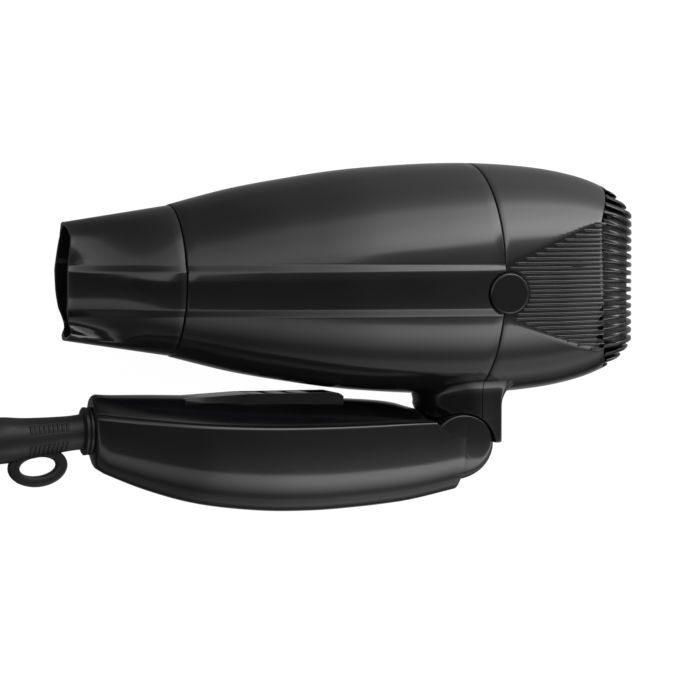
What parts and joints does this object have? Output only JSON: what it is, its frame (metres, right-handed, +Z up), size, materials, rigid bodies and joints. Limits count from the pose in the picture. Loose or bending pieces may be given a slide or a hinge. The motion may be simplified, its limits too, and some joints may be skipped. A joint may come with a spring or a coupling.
{
  "type": "folding travel hair dryer",
  "caption": "Folding hair dryer with a round tapered barrel, slot nozzle, slatted rear intake, hinged hollow handle with slide switch, and mains cord.",
  "frame": {"origin": "centre of the bounding box of the dryer without its free cord, at its base, where the dryer lies on its side", "axes": "+X along the barrel towards the rear intake, +Y from the handle towards the barrel, +Z up from the table through the side cap"},
  "size_m": [0.354, 0.1146, 0.0791],
  "materials": {
    "gloss_black": "gloss",
    "dark_cover": "gloss",
    "grille_black": "satin",
    "filter_steel": "woven",
    "screw_steel": "plated",
    "inner_black": "heat resistant",
    "mica": "mica sheet",
    "heater_wire": "oxidised",
    "contact_brass": "plain",
    "motor_steel": "plated",
    "white_plastic": "matt",
    "board_green": "laminate",
    "switch_blue": "matt",
    "capacitor_yellow": "matt",
    "wire_red": "matt",
    "wire_blue": "matt",
    "soft_black": "satin",
    "plug_black": "satin"
  },
  "bodies": {
    "barrel": {"barrel_shell": "gloss_black", "rear_cover": "gloss_black", "intake_grille": "grille_black", "intake_filter": "filter_steel", "side_caps": "gloss_black", "housing_screws": "screw_steel", "outlet_grille": "inner_black", "heater_sleeve": "mica", "heater_boards": "mica", "heater_coils": "heater_wire", "thermostat": "contact_brass", "thermal_fuse": "contact_brass", "fan_duct": "inner_black", "motor_can": "motor_steel", "motor_end_cap": "white_plastic", "rectifier_board": "board_green", "hinge_tongue": "inner_black", "barrel_wires": "wire_blue"},
    "nozzle_ring": {"nozzle_clip_ring": "inner_black"},
    "nozzle": {"nozzle_shell": "gloss_black"},
    "rotor": {"fan_impeller": "inner_black", "motor_shaft": "screw_steel"},
    "handle": {"handle_shell": "gloss_black", "handle_cover": "dark_cover", "handle_screws": "screw_steel", "switch_body": "switch_blue", "capacitor": "capacitor_yellow", "cord_clamp": "inner_black", "clamp_screws": "screw_steel", "terminal_block": "white_plastic", "handle_wires": "wire_red", "strain_relief": "soft_black", "cord_inlet": "soft_black", "hinge_pin": "screw_steel", "detent_spring": "screw_steel", "cord_tail": "soft_black", "cord_coil": "soft_black", "cord_tie": "soft_black", "cord_lead": "soft_black", "plug_body": "plug_black", "plug_pins": "contact_brass", "plug_pin_sleeves": "plug_black"},
    "switch": {"switch_knob": "dark_cover"}
  },
  "joints": [
    {"name": "nozzle_pull", "type": "slide", "parent": "barrel", "child": "nozzle_ring", "axis": [-1, 0, 0], "range_m": [0, 0.035]},
    {"name": "nozzle_turn", "type": "hinge", "parent": "nozzle_ring", "child": "nozzle", "pos_m": [-0.0428, 0.0188, 0.0394], "axis": [1, 0, 0], "continuous": true},
    {"name": "fan_spin", "type": "hinge", "parent": "barrel", "child": "rotor", "pos_m": [0.0672, 0.0188, 0.0394], "axis": [1, 0, 0], "continuous": true},
    {"name": "fold", "type": "hinge", "parent": "barrel", "child": "handle", "pos_m": [0.0557, -0.0367, 0.0394], "axis": [0, 0, 1], "range_deg": [0, 90]},
    {"name": "switch_slide", "type": "slide", "parent": "handle", "child": "switch", "axis": [1, 0, 0], "range_m": [0, 0.008]}
  ]
}
